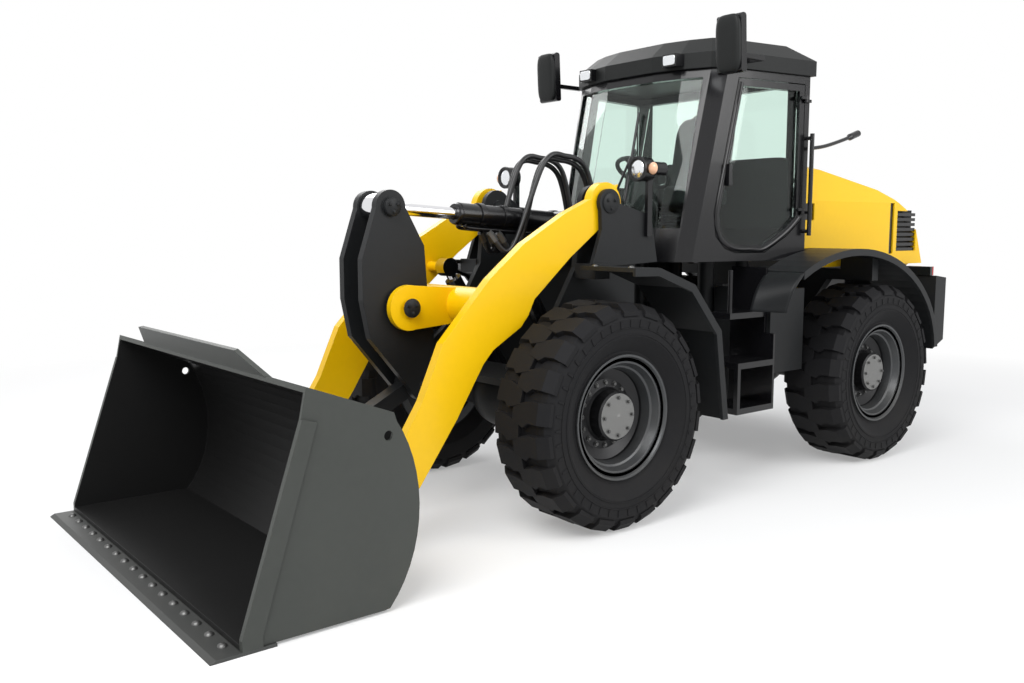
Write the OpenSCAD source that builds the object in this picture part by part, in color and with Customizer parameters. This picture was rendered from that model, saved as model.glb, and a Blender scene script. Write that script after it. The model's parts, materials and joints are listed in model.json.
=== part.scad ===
// Articulated wheel loader with a general purpose bucket.
// X points forward, Y to the machine's left and Z up, in millimetres.
// The origin lies on the ground, below the middle of the overall length.
// Places along X are counted from the front axle, which place() then moves to the origin's frame.

/* [Layout] */
// Distance between the axles
wheelbase = 2660; // [2560:10:2760]
// Distance between the middles of the left and right tyres
track = 1780; // [1760:5:1840]
// Front axle to the tip of the cutting edge
front_reach = 2463; // [2440:1:2500]
// Rear axle to the rear face of the counterweight
rear_overhang = 1260; // [1220:5:1340]

/* [Wheels] */
// Radius of the tyre over its lugs
tyre_r = 648; // [620:1:670]
// Width of the tyre
tyre_w = 445; // [420:1:450]
// Thickness of the tyre's wall
tyre_wall = 45; // [30:1:60]
// Number of lugs in each row of the tread
lug_count = 22; // [18:1:24]
// Height of the lugs
lug_h = 34; // [26:1:38]
// Radius of the rim's bead seat
rim_r = 318; // [310:1:330]
// Radius of the rim's flange
flange_r = 356; // [350:1:370]
// Width over the rim's flanges
rim_w = 358; // [330:1:370]
// Radius of the hub drum
hub_r = 142; // [130:1:160]
// Radius of the axle's spindle
spindle_r = 90; // [70:1:100]

/* [Axles] */
// Radius of the axle beam
beam_r = 115; // [100:1:120]
// Radius of the differential housing
diff_r = 215; // [190:1:225]

/* [Pins] */
// Radius of the boom, bucket and tilt pins
pin_r = 40; // [30:1:45]
// Radius of the lift and link pins
small_pin_r = 32; // [25:1:36]
// Running clearance round a pin
run_gap = 0.05; // [0.02:0.01:0.1]
// Side clearance between plates that pass each other
side_gap = 6; // [5:0.5:10]

/* [Boom] */
// Boom pin behind the front axle
boom_pin_x = -300; // [-320:1:-280]
// Height of the boom pin
boom_pin_z = 1850; // [1830:1:1870]
// Bucket pin ahead of the front axle
bucket_pin_x = 1300; // [1290:1:1310]
// Height of the bucket pin with the bucket flat
bucket_pin_z = 270; // [260:1:280]
// Half distance to the inner face of a boom arm
arm_in = 540; // [530:1:545]
// Thickness of a boom arm
arm_t = 60; // [50:1:65]
// Radius of the cross tube
cross_r = 110; // [90:1:120]
// Half distance to the inner face of a bellcrank ear
ear_in = 150; // [146:1:160]
// Thickness of a bellcrank ear
ear_t = 40; // [30:1:45]

/* [Bellcrank] */
// Bellcrank pivot ahead of the front axle
crank_x = 840; // [830:1:850]
// Height of the bellcrank pivot
crank_z = 1250; // [1240:1:1260]
// Tilt pin of the bellcrank ahead of the front axle
crank_top_x = 920; // [910:1:930]
// Height of the tilt pin of the bellcrank
crank_top_z = 1820; // [1810:1:1830]
// Link pin of the bellcrank ahead of the front axle
crank_low_x = 715; // [705:1:725]
// Height of the link pin of the bellcrank
crank_low_z = 780; // [770:1:790]
// Half distance to the inner face of a bellcrank plate
crank_in = 80; // [74:1:84]
// Thickness of a bellcrank plate
crank_t = 50; // [40:1:55]

/* [Bucket] */
// Width of the bucket
bucket_w = 2490; // [2440:10:2520]
// Thickness of the bucket's sheet
sheet_t = 25; // [18:1:30]
// Thickness of the bucket's side plates
side_t = 30; // [20:1:35]
// Upper link pin of the bucket ahead of the front axle
bucket_top_x = 1305; // [1295:1:1315]
// Height of the upper link pin of the bucket
bucket_top_z = 485; // [475:1:495]
// Radius of the tie hole in each side plate
tie_r = 22; // [16:1:26]

/* [Cylinders] */
// Outer radius of the tilt cylinder's barrel
tilt_r = 70; // [64:1:74]
// Base pin of the tilt cylinder behind the front axle
tilt_x = -470; // [-480:1:-460]
// Height of the tilt cylinder's base pin
tilt_z = 1735; // [1725:1:1745]
// Outer radius of a lift cylinder's barrel
lift_r = 55; // [48:1:60]
// Half distance between the lift cylinders
lift_y = 360; // [350:1:365]
// Outer radius of a steering cylinder's barrel
steer_r = 38; // [34:1:40]

/* [Frames] */
// Half distance to the inner face of a tower plate
tower_in = 460; // [455:1:465]
// Thickness of a tower plate
tower_t = 40; // [30:1:45]
// Half distance to the inner face of a rear frame rail
rail_in = 360; // [355:1:365]
// Thickness of a rear frame rail
rail_t = 40; // [30:1:45]
// Radius of the two articulation pins
joint_r = 60; // [50:1:65]
// Thickness of an articulation lug
lug_t = 50; // [40:1:52]

/* [Cab] */
// Half width of the cab
cab_half = 800; // [780:1:810]
// Front face of the cab behind the front axle
cab_front = -830; // [-850:1:-826]
// Rear face of the cab behind the front axle
cab_rear = -2060; // [-2080:1:-2040]
// Underside of the cab's floor
cab_floor = 1480; // [1470:1:1490]
// Height of the cab's walls
cab_h = 1260; // [1220:5:1280]
// Height of the roof on them
roof_h = 210; // [180:5:240]
// Thickness of the cab's walls
cab_wall = 60; // [50:1:70]
// Angle by which each side wall draws in towards the front
cab_taper = 9; // [8:0.1:10]
// Distance by which the windscreen leans back over the cab's height
cab_lean = 270; // [240:5:290]

/* [Hood] */
// Half width of the hood
hood_half = 700; // [680:1:710]
// Thickness of the hood's skin
hood_t = 30; // [20:1:40]
// Lower edge of the hood
hood_low = 1415; // [1405:1:1425]

/* [Fenders] */
// Half distance to the fenders' outer edge
fender_out = 1120; // [1110:1:1130]
// Thickness of a fender's skin
fender_t = 25; // [18:1:30]
// Width of the fenders' rolled edge
fender_lip = 22; // [16:1:28]

/* [Hidden] */
$fn = 48;

yellow = "#f4c20d";
dark_grey = "#3c3f42";
black = "#17181a";
steel = "#b9bcbf";

rear_reach = wheelbase + rear_overhang;
cab_eaves = cab_floor + cab_h;
roof_top = cab_eaves + roof_h;
axle_z = tyre_r;
front_axle_x = (rear_reach - front_reach) / 2;
rear_axle_x = -wheelbase;
joint_x = -wheelbase / 2;
wheel_y = track / 2;

boom_pin = [boom_pin_x, boom_pin_z];
bucket_pin = [bucket_pin_x, bucket_pin_z];
crank_pin = [crank_x, crank_z];
crank_top = [crank_top_x, crank_top_z];
crank_low = [crank_low_x, crank_low_z];
bucket_top = [bucket_top_x, bucket_top_z];
tilt_base = [tilt_x, tilt_z];
cross_at = crank_pin + [-360, 0];
lift_base = [-400, 500];
lift_top = [200, 1450];

arm_out = arm_in + arm_t;
tower_out = tower_in + tower_t;
rail_out = rail_in + rail_t;
ear_out = ear_in + ear_t;
crank_out = crank_in + crank_t;
cap_t = 20;
cheek = arm_out + side_gap;
cheek_t = 30;
eye_half = crank_in - side_gap;

tilt_len = norm(crank_top - tilt_base);
tilt_angle = atan2(crank_top[1] - tilt_z, crank_top[0] - tilt_x);
lift_len = norm(lift_top - lift_base);
lift_angle = atan2(lift_top[1] - lift_base[1], lift_top[0] - lift_base[0]);

steer_front = [joint_x + 250, 230];
steer_rear = [joint_x - 600, 245];
steer_z = 740;
steer_half = 30;
steer_len = norm(steer_front - steer_rear);
steer_angle = atan2(steer_front[1] - steer_rear[1], steer_front[0] - steer_rear[0]);
steer_pin_r = 24;

upper_lug = 960;
lower_lug = 470;
lug_gap = 2;
frame_top = upper_lug + 2 * lug_t + lug_gap;
frame_low = lower_lug - lug_gap - lug_t;
belly = 770;

tyre_in = wheel_y - tyre_w / 2;

// Moves what is counted from the front axle into the part's frame.
module place() translate([front_axle_x, 0, 0]) children();

// Repeats what lies on the left on the right.
module both() {
  children();
  mirror([0, 1, 0]) children();
}

// Extrudes an outline of X and Z from y0 to y1.
module slab(y0, y1) translate([0, y1, 0]) rotate([90, 0, 0]) linear_extrude(y1 - y0) children();

// Extrudes an outline of Y and Z from x0 to x1.
module wall(x0, x1) translate([x0, 0, 0]) rotate([90, 0, 90]) linear_extrude(x1 - x0) children();

// Extrudes an outline of X and Y from z0 to z1.
module plate(z0, z1) translate([0, 0, z0]) linear_extrude(z1 - z0) children();

// A round bar along Y.
module bar(at, r, y0, y1) translate([at[0], y1, at[1]]) rotate([90, 0, 0]) cylinder(r = r, h = y1 - y0);

// A round bar along Z.
module post(at, r, z0, z1) translate([at[0], at[1], z0]) cylinder(r = r, h = z1 - z0);

// A box given by its lowest and highest corners.
module box(low, high) translate(low) cube(high - low);

// A round outline at a point.
module disc(at, r) translate(at) circle(r);

// Stands a shape that lies along X on a pin, turned up by an angle in the XZ plane.
module aim(at, y, angle) translate([at[0], y, at[1]]) rotate([0, -angle, 0]) children();

// Wheels: axle along Y, outer side towards +Y.

module tyre_shape() {
  bead = rim_w / 2 - 14;
  half = tyre_w / 2;
  base = tyre_r - lug_h;
  rotate([-90, 0, 0]) rotate_extrude($fn = 96) difference() {
    polygon([
      [rim_r, -bead], [flange_r + 20, -bead], [flange_r + 105, -half], [base - 55, -half],
      [base - 8, -half + 28], [base, -half + 70], [base, half - 70],
      [base - 8, half - 28], [base - 55, half], [flange_r + 105, half],
      [flange_r + 20, bead], [rim_r, bead]
    ]);
    polygon([
      [rim_r - 1, -bead + tyre_wall], [flange_r + 40, -bead + tyre_wall],
      [flange_r + 115, -half + tyre_wall], [base - 75, -half + tyre_wall],
      [base - 60, 0], [base - 75, half - tyre_wall],
      [flange_r + 115, half - tyre_wall], [flange_r + 40, bead - tyre_wall], [rim_r - 1, bead - tyre_wall]
    ]);
  }
  for (i = [0:lug_count - 1]) {
    rotate([0, i * 360 / lug_count, 0]) lug(1);
    rotate([0, (i + 0.5) * 360 / lug_count, 0]) lug(-1);
  }
}

// One lug of the tread, from the tyre's shoulder to past its middle, standing on top of the tyre.
module lug(side) {
  pitch = 2 * PI * tyre_r / lug_count;
  half = tyre_w / 2;
  reach = sqrt(pow(tyre_r, 2) - pow(pitch / 2, 2));
  difference() {
    plate(tyre_r - 75, reach) polygon([
      [-0.34 * pitch, side * half], [0.30 * pitch, side * half], [0.30 * pitch, side * 0.45 * half],
      [0.44 * pitch, side * 0.30 * half], [0.30 * pitch, -side * 0.12 * half], [-0.16 * pitch, -side * 0.12 * half],
      [-0.34 * pitch, side * 0.42 * half]
    ]);
    wall(-pitch, pitch) polygon([
      [side * (half + 10), tyre_r - 60], [side * (half + 10), tyre_r + 10], [side * (half - 70), tyre_r + 10],
      [side * (half - 45), tyre_r - 12]
    ]);
  }
}

module rim_shape() {
  half = rim_w / 2;
  rotate([-90, 0, 0]) rotate_extrude($fn = 96) polygon([
    [spindle_r + run_gap, -90], [hub_r, -90], [hub_r, -10], [rim_r - 60, -10], [rim_r - 16, -40],
    [rim_r - 16, -half + 12], [flange_r, -half + 2], [flange_r, -half + 14], [rim_r, -half + 14],
    [rim_r, half - 14], [flange_r, half - 14], [flange_r, half], [flange_r - 12, half],
    [flange_r - 22, half - 16], [rim_r - 12, half - 20], [rim_r - 30, half - 60], [rim_r - 42, half - 66],
    [rim_r - 58, 45], [hub_r + 60, 22], [hub_r + 14, 30], [hub_r, 46],
    [hub_r, half - 60], [hub_r - 12, half - 48], [0, half - 42], [0, 60], [spindle_r + run_gap, 60]
  ]);
}

module wheel_at(x, side) translate([x, side * wheel_y, axle_z]) mirror([0, side < 0 ? 1 : 0, 0]) children();

// An axle with its differential, hub carriers and spindles.
module axle_shape(x) {
  spindle_end = wheel_y + 50;
  carrier = wheel_y - 90;
  difference() {
    union() {
      bar([x, axle_z], beam_r, -carrier + 40, carrier - 40);
      translate([x, 0, axle_z]) sphere(diff_r);
      both() bar([x, axle_z], 175, carrier - 130, carrier - side_gap);
      both() bar([x, axle_z], spindle_r, carrier - 140, spindle_end);
      both() box([x - 110, rail_in - 20, axle_z], [x + 110, tower_out + 20, belly]);
    }
    box([x - 300, -1000, belly], [x + 300, 1000, belly + 300]);
  }
}

// Rear frame and what it carries.

module lug_plan(tip_r) {
  disc([joint_x, 0], tip_r);
  polygon([[joint_x, tip_r], [joint_x - 300, rail_out], [joint_x - 520, rail_out],
    [joint_x - 520, -rail_out], [joint_x - 300, -rail_out], [joint_x, -tip_r]]);
}

module rear_frame() {
  front = joint_x - 265;
  tail = -rear_reach + 360;
  color(dark_grey) place() {
    both() slab(rail_in, rail_out) polygon([
      [front, frame_low], [front - 265, frame_low], [front - 475, 640], [rear_axle_x + 330, 700],
      [rear_axle_x + 260, belly], [rear_axle_x - 260, belly], [rear_axle_x - 330, 700], [tail, 700],
      [tail, frame_top], [front, frame_top]
    ]);
    plate(frame_top - lug_t, frame_top) lug_plan(140);
    plate(frame_low, frame_low + lug_t) lug_plan(140);
    box([tail, -rail_in, belly], [rear_axle_x + 120, rail_in, belly + 30]);
    box([tail, -rail_in, belly + 30], [tail + 40, rail_in, frame_top]);
    both() box([steer_rear[0] - 70, steer_rear[1] - 60, steer_z + steer_half + lug_gap],
      [steer_rear[0] + 32, rail_in, steer_z + steer_half + lug_gap + 30]);
    both() box([steer_rear[0] - 70, steer_rear[1] - 60, steer_z - steer_half - lug_gap - 30],
      [steer_rear[0] + 32, rail_in, steer_z - steer_half - lug_gap]);
    both() post(steer_rear, steer_pin_r, steer_z - steer_half - 32, steer_z + steer_half + 32);
    both() for (x = [cab_rear + 90, joint_x - 250]) post([x, 320], 60, frame_top, cab_floor);
    both() wall(rear_axle_x - 40, rear_axle_x + 40) polygon([
      [rail_in, 1020], [rail_out + 20, 1020], [tyre_in - 40, 1320], [1000, 1320], [1000, 1400], [rail_in, 1400]
    ]);
    both() intersection() {
      box([rear_axle_x - 40, hood_half + 40, 1399], [rear_axle_x + 40, 1000, 1700]);
      slab(0, fender_out) rear_arch(fender_t + 1.2);
    }
    post([joint_x, 0], joint_r, upper_lug - 20, frame_top - lug_t + 1);
    post([joint_x, 0], joint_r, frame_low + lug_t - 1, lower_lug + lug_t + 20);
  }
}

module counterweight() {
  front = -rear_reach + 360;
  low = 747;
  top = 1330;
  half = 1000;
  color(dark_grey) place() intersection() {
    slab(-half, half) polygon([
      [front, low], [-rear_reach + 70, low + 120], [-rear_reach, low + 370], [-rear_reach, top - 55],
      [-rear_reach + 30, top - 40], [front, top]
    ]);
    plate(0, 2000) polygon([
      [front, -half], [-rear_reach + 200, -half], [-rear_reach, -half + 300], [-rear_reach, half - 300],
      [-rear_reach + 200, half], [front, half]
    ]);
  }
  color(dark_grey) place() both() {
    slab(hood_ear, hood_ear + hood_ear_t) union() {
      disc(hood_pivot, 35);
      polygon([hood_pivot + [-30, 0], hood_pivot + [35, 0], hood_pivot + [40, -160], hood_pivot + [-30, -160]]);
    }
    bar(hood_pivot, hood_pin_r, hood_ear, hood_ear + 2 * hood_ear_t + side_gap);
  }
}

module rear_axle() color(dark_grey) place() axle_shape(rear_axle_x);

module engine() color(steel) place() {
  box([-rear_reach + 540, -310, belly + 30], [rear_axle_x + 100, 310, 1640]);
}

module radiator() color(black) place() {
  box([-rear_reach + 400, -300, belly + 30], [-rear_reach + 520, 300, hood_low]);
  box([-rear_reach + 400, -560, hood_low], [-rear_reach + 520, 560, 1820]);
}

module tanks() color(dark_grey) place() both() {
  box([cab_rear + 100, rail_out, 720], [joint_x - 250, 880, 1290]);
}

module steps() {
  back = joint_x - 230;
  front = joint_x + 140;
  in = 640;
  out = 925;
  top_out = 850;
  color(black) place() both() {
    box([back - 20, in - 80, 490], [back, out, 1000]);
    box([back - 20, in - 80, 1000], [back, top_out, cab_floor - 40]);
    for (z = [490, 790]) box([back, in, z], [front, out, z + 40]);
    box([back, in, 1110], [front, top_out, 1150]);
    box([front - 30, out - 30, 530], [front, out, 790]);
  }
}

// Side view of what lies under a rear fender, set in by a thickness.
module rear_arch(inset) translate([rear_axle_x + 410, 750]) scale([1150 - inset, 810 - inset]) circle(1, $fn = 72);

// The skin of a rear fender from y0 to y1, as thick as given.
module rear_skin(y0, y1, t) intersection() {
  slab(y0, y1) difference() {
    rear_arch(0);
    rear_arch(t);
  }
  box([rear_axle_x - 800, 0, 790], [rear_axle_x + 1060, 2000, 2000]);
}

module rear_fenders() color(dark_grey) place() both() difference() {
  union() {
    rear_skin(hood_half + 20, fender_out, fender_t);
    rear_skin(fender_out - fender_lip, fender_out, fender_t + fender_lip);
  }
  box([cab_rear - 30, 0, 0], [0, cab_half + 15, 3000]);
}

// Cab.

// Half width of the cab at a place along X.
function side_y(x) = cab_half - (x - cab_rear) * tan(cab_taper);

// Distance by which the front has leaned back at a height.
function lean(z) = cab_lean * (z - cab_floor) / (cab_eaves - cab_floor);

// Turns what stands on a wall along X onto the left side wall, which draws in towards the front.
module side_wall() translate([cab_rear, cab_half, 0]) rotate([0, 0, -cab_taper]) translate([-cab_rear, -cab_half, 0])
  children();

post_x = cab_front - 220;
sill = 1700;
head = cab_eaves - 60;

// Outline of the cab from above, with its front moved back.
module cab_plan(back) {
  x = post_x - back;
  half = [[cab_rear, cab_half], [x, side_y(x)], [x + 90, side_y(x) - 70], [x + 165, 430], [x + 210, 220]];
  polygon(concat(half, [for (i = [len(half) - 1:-1:0]) [half[i][0], -half[i][1]]]));
}

// The closed form of the cab, set in by an inset and raised by a rise.
module cab_form(inset, rise = 0) hull() {
  plate(cab_floor + rise, cab_floor + rise + 1) offset(delta = -inset) cab_plan(lean(cab_floor + rise));
  plate(cab_eaves + rise - 1, cab_eaves + rise) offset(delta = -inset) cab_plan(lean(cab_eaves + rise));
}

door_rear = cab_rear + 50;
door_low = cab_floor + 60;
door_top = cab_eaves - 60;

// Outline of the door on the left wall, grown by a margin. Its front edge leans with the front post.
module door_outline(grow) offset(delta = grow) polygon([
  [post_x - lean(door_top) - 100, door_top], [post_x - lean(1800) - 100, 1800], [post_x - 190, 1650],
  [post_x - 270, door_low + 30], [post_x - 370, door_low], [door_rear + 330, door_low], [door_rear + 130, 1650],
  [door_rear, 1760], [door_rear, door_top]
]);

// What the windows take out of the walls: the wide windscreen, the right side and the rear.
module cab_windows() {
  hull() for (z = [sill, head - 1]) plate(z, z + 1) polygon([
    [post_x - lean(z) + 20, -570], [post_x - lean(z) + 20, 570], [cab_front + 60, 570], [cab_front + 60, -570]
  ]);
  mirror([0, 1, 0]) side_wall() slab(cab_half - 2 * cab_wall, cab_half + cab_wall) polygon([
    [post_x - lean(sill) - 110, sill], [post_x - lean(head) - 110, head], [door_rear, head], [door_rear, sill]
  ]);
  wall(cab_rear - cab_wall, cab_rear + 2 * cab_wall) polygon([[-660, 1800], [660, 1800], [660, head], [-660, head]]);
}

module cab_shell() color(black) place() {
  side_wall() for (z = hinge_z) hinge_seat(z);
  difference() {
    cab_form(0);
    cab_form(cab_wall, cab_wall);
    cab_windows();
    side_wall() slab(cab_half - 2 * cab_wall, cab_half + cab_wall) door_outline(side_gap);
  }
}

// The roof: an upright edge that stands out over the walls, under a crown that draws in.
module roof_form() {
  edge_top = roof_top - 110;
  plate(cab_eaves, edge_top) offset(delta = 25) cab_plan(cab_lean);
  hull() {
    plate(edge_top - 1, edge_top) offset(delta = 25) cab_plan(cab_lean);
    plate(roof_top - 1, roof_top) offset(delta = -110) cab_plan(cab_lean);
  }
}

module cab_roof() color(black) place() roof_form();

module cab_glass() color("#8fb0a8", 0.4) place() intersection() {
  difference() {
    cab_form(16);
    cab_form(24);
  }
  cab_windows();
}

module seat() color(dark_grey) place() {
  x = cab_rear + 320;
  cushion = cab_floor + 520;
  back_top = cushion + 520;
  box([x - 150, -160, cab_floor + 60], [x + 250, 160, cushion - 140]);
  box([x - 200, -260, cushion - 140], [x + 300, 260, cushion]);
  slab(-250, 250) polygon([[x - 190, cushion], [x - 50, cushion], [x - 130, back_top], [x - 240, back_top - 20]]);
}

module console() color(black) place() {
  x = cab_front - 400;
  slab(-110, 110) polygon([[x - 60, cab_floor + 60], [x + 120, cab_floor + 60], [x + 30, 2100], [x - 60, 2075]]);
  translate([x - 20, 0, 2090]) rotate([0, -30, 0]) rotate_extrude() translate([190, 0]) circle(16, $fn = 24);
  translate([x - 20, 0, 2090]) rotate([0, -30, 0]) translate([-190, -20, -10]) cube([380, 40, 20]);
  box([cab_rear + 130, -560, cab_floor + 60], [cab_rear + 800, -360, 2000]);
}

module handrails() {
  r = 15;
  x = cab_rear + 20;
  y = cab_half + 45;
  step_x = joint_x + 125;
  step_y = 835;
  color(black) place() both() {
    post([x, y], r, 1650, 2350);
    difference() {
      for (z = [1680, 2320]) bar([x, z], r - 2, cab_half - 30, y);
      cab_form(0);
    }
    post([step_x, step_y], r, 1150, 1430);
  }
}

module mirrors() {
  x = post_x - 70;
  y = 860;
  color(black) place() both() {
    slab(y - 95, y + 95) offset(r = 20) offset(delta = -20) polygon([
      [x - 35, cab_eaves - 80], [x + 15, cab_eaves - 80], [x + 35, cab_eaves + 275], [x - 15, cab_eaves + 275]
    ]);
    difference() {
      box([x - 320, 600, cab_eaves + 30], [x - 290, y + 15, cab_eaves + 60]);
      roof_form();
    }
    box([x - 320, y - 15, cab_eaves + 30], [x - 20, y + 15, cab_eaves + 60]);
  }
}

module work_lamps() color(black) place() both() difference() {
  union() {
    box([post_x - cab_lean, 340, cab_eaves + 15], [post_x - cab_lean + 260, 460, cab_eaves + 95]);
    box([cab_rear - 100, 600, cab_eaves + 15], [cab_rear, 730, cab_eaves + 95]);
  }
  roof_form();
}

module tail_lamps() color("#a01818") place() both() {
  box([-rear_reach + 330, 760, 1330], [-rear_reach + 380, 960, 1400]);
}

door_hinge = [door_rear, cab_half + 15];
hinge_t = 20;
hinge_z = [1800, 2560];

// Lower half of a door hinge with its pin, on the rear pillar.
module hinge_seat(z) {
  box([door_rear - 40, cab_half, z], [door_rear - 8, cab_half + 28, z + hinge_t]);
  post(door_hinge, 14, z, z + hinge_t);
  post(door_hinge, 8, z, z + 2 * hinge_t + 5);
}

// Upper half of a door hinge, on the door.
module hinge_leaf(z) difference() {
  union() {
    box([door_rear + 2, cab_half, z + hinge_t + 0.3], [door_rear + 50, cab_half + 28, z + 2 * hinge_t]);
    post(door_hinge, 14, z + hinge_t + 0.3, z + 2 * hinge_t);
  }
  post(door_hinge, 8 + run_gap, z, z + 100);
}

door_rim = 45;

module door_frame() color(black) place() side_wall() {
  for (z = hinge_z) hinge_leaf(z);
  difference() {
    slab(cab_half - cab_wall + 10, cab_half) door_outline(0);
    slab(cab_half - cab_wall, cab_half + 1) door_outline(-door_rim);
  }
  box([post_x - lean(2050) - 160, cab_half, 1980], [post_x - lean(2050) - 130, cab_half + 40, 2120]);
}

module door_glass() color("#8fb0a8", 0.4) place() side_wall()
  slab(cab_half - 34, cab_half - 26) door_outline(-door_rim);

// Hood.

hood_pivot = [-rear_reach + 140, hood_low];
hood_pin_r = 20;
hood_ear = 520;
hood_ear_t = 40;
hood_front = cab_rear - 75;

module hood_side(inset) {
  top = 2185 - inset;
  rear = -rear_reach + 35 + inset;
  polygon([
    [hood_front + (inset > 0 ? 1 : 0), hood_low - (inset > 0 ? 1 : 0)], [hood_front + (inset > 0 ? 1 : 0), top],
    [rear + 690 - inset / 2, top - 185], [rear + 460 - inset / 2, top - 255], [rear + 265 - inset / 2, top - 340],
    [rear + 130, top - 455], [rear, hood_low - (inset > 0 ? 1 : 0)]
  ]);
}

module hood_section(inset) polygon([
  [-hood_half + inset, 1000], [-hood_half + inset, 1900], [-hood_half + 60 + inset / 2, 2130],
  [-hood_half + 200, 2200 - inset], [hood_half - 200, 2200 - inset], [hood_half - 60 - inset / 2, 2130],
  [hood_half - inset, 1900], [hood_half - inset, 1000]
]);

grille_half = 480;
side_grille = [[-rear_reach + 150, 1520], [-rear_reach + 450, 1840]];
side_strip = [[-rear_reach + 500, 1500], [-rear_reach + 560, 1900]];
front_vent = [[hood_front - 180, 1760], [hood_front - 50, 1880]];

// A cut through both sides of the hood, given by its lowest and highest corners in X and Z.
module side_cut(c) box([c[0][0], -hood_half - 10, c[0][1]], [c[1][0], hood_half + 10, c[1][1]]);

// A dark plate set into a cut of the hood's left side.
module side_plate(c) box([c[0][0], hood_half - 25, c[0][1]], [c[1][0], hood_half - 12, c[1][1]]);

module hood() color(yellow) place() difference() {
  union() {
    difference() {
      intersection() {
        slab(-hood_half, hood_half) hood_side(0);
        wall(-rear_reach, cab_rear) hood_section(0);
      }
      intersection() {
        slab(-hood_half + hood_t, hood_half - hood_t) hood_side(hood_t);
        wall(-rear_reach, cab_rear) hood_section(hood_t);
      }
    }
    both() slab(hood_ear + hood_ear_t + side_gap, hood_ear + 2 * hood_ear_t + side_gap) union() {
      disc(hood_pivot, 35);
      polygon([hood_pivot + [0, -35], hood_pivot + [0, 35], hood_pivot + [-60, 120], hood_pivot + [-85, 0]]);
    }
  }
  both() bar(hood_pivot, hood_pin_r + run_gap, hood_ear, hood_half - 10);
  side_cut(side_grille);
  side_cut(side_strip);
  side_cut(front_vent);
  box([-rear_reach, -grille_half, hood_low + 60], [-rear_reach + 300, grille_half, 1680]);
}

module hood_grille() color(black) place() {
  both() {
    side_plate(side_strip);
    side_plate(front_vent);
    for (z = [side_grille[0][1]:40:side_grille[1][1] - 25]) side_plate([[side_grille[0][0], z], [side_grille[1][0], z + 25]]);
  }
  intersection() {
    slab(-grille_half, grille_half) difference() {
      hood_side(6);
      hood_side(24);
    }
    for (z = [hood_low + 75:35:1660]) box([-rear_reach, -grille_half, z], [-rear_reach + 300, grille_half, z + 20]);
  }
}

// Front frame and what it carries.

module front_frame() {
  back = -660;
  color(dark_grey) place() difference() {
    union() {
      both() slab(tower_in, tower_out) union() {
        disc(boom_pin, 110);
        polygon([
          [back, 520], [-330, 470], [-260, belly], [330, belly], [330, 900], [60, 1120], [-150, 1465],
          [-190, boom_pin_z], [boom_pin_x - 110, boom_pin_z + 60], [back, 1740]
        ]);
      }
      box([back, -270, 470], [-330, 270, 510]);
      box([back, -tower_in, 510], [back + 40, tower_in, 1700]);
      box([-100, -tower_in, belly], [330, tower_in, belly + 40]);
      both() slab(50 + side_gap, 50 + side_gap + 40) union() {
        disc(tilt_base, 85);
        polygon([[back, 1450], [-560, 1450], [tilt_x + 80, tilt_z - 30], [tilt_x, tilt_z + 85], [back, 1700]]);
      }
      both() slab(90, 120) polygon([
        [joint_x + 150, lower_lug + lug_t], [back, 510], [back, 1060], [joint_x + 150, upper_lug]
      ]);
      plate(upper_lug, upper_lug + lug_t) union() {
        disc([joint_x, 0], 130);
        polygon([[joint_x, 130], [back, 260], [back, -260], [joint_x, -130]]);
      }
      plate(lower_lug, lower_lug + lug_t) union() {
        disc([joint_x, 0], 130);
        polygon([[joint_x, 130], [back, 260], [back, -260], [joint_x, -130]]);
      }
      both() plate(steer_z + steer_half + side_gap, steer_z + steer_half + side_gap + 30) union() {
        disc(steer_front, 50);
        polygon([[steer_front[0] + 60, 100], [steer_front[0] + 40, steer_front[1] + 30],
          [steer_front[0] - 50, steer_front[1]], [steer_front[0] - 60, 100]]);
      }
      both() bar(boom_pin, pin_r, tower_in - 30, cheek + 1);
      both() slab(cheek, cheek + cheek_t) union() {
        disc(boom_pin, 85);
        polygon([[-374, 1850], [back, 1780], [back - 60, 1490], [-154, 1465], [-233, 1690], [-225, 1830]]);
      }
      both() box([back, tower_in, 1500], [back + 40, cheek + 1, 1740]);
      both() bar(lift_base, small_pin_r, lift_y - 60, tower_in + 1);
      both() bar(lift_base, small_pin_r + 25, lift_y - 80, lift_y - 55);
      both() box([-260, tower_out - 1, 1400], [-140, tyre_in + 10, 1490]);
    }
    both() bar(tilt_base, pin_r + run_gap, 0, 200);
    post([joint_x, 0], joint_r + run_gap, 300, 1200);
  }
}

module front_axle() color(dark_grey) place() axle_shape(0);

// Side view of what lies under a front fender: flat on top, then falling away behind the tyre.
module front_arch(inset) offset(r = -40) offset(r = 40) offset(delta = -inset) polygon([
  [600, 400], [600, 1495], [-220, 1480], [-520, 1375], [-770, 1090], [-853, 540], [-875, 400]
]);

// The skin of a front fender from y0 to y1, as thick as given. Below the steps' height it stays clear of them.
module front_skin(y0, y1, t) intersection() {
  slab(y0, y1) difference() {
    front_arch(0);
    front_arch(t);
  }
  union() {
    box([-1000, 0, 1000], [-20, 2000, 3000]);
    box([-1000, 870, 540], [-500, 2000, 1001]);
  }
}

module front_fenders() color(dark_grey) place() both() {
  front_skin(tyre_in + 10, fender_out, fender_t);
  front_skin(fender_out - fender_lip, fender_out, fender_t + fender_lip);
}

module headlamps() {
  x = -600;
  y = cheek + cheek_t;
  color(black) place() both() {
    box([x - 40, y, 1650], [x, y + 25, 2060]);
    translate([x, y + 12, 2060]) rotate([0, 90, 0]) cylinder(r = 75, h = 80);
    translate([x - 40, y + 110, 2060]) rotate([0, 90, 0]) cylinder(r = 40, h = 90);
    box([x - 40, y, 2040], [x + 5, y + 120, 2060]);
  }
}

// Boom and bucket linkage.

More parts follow.
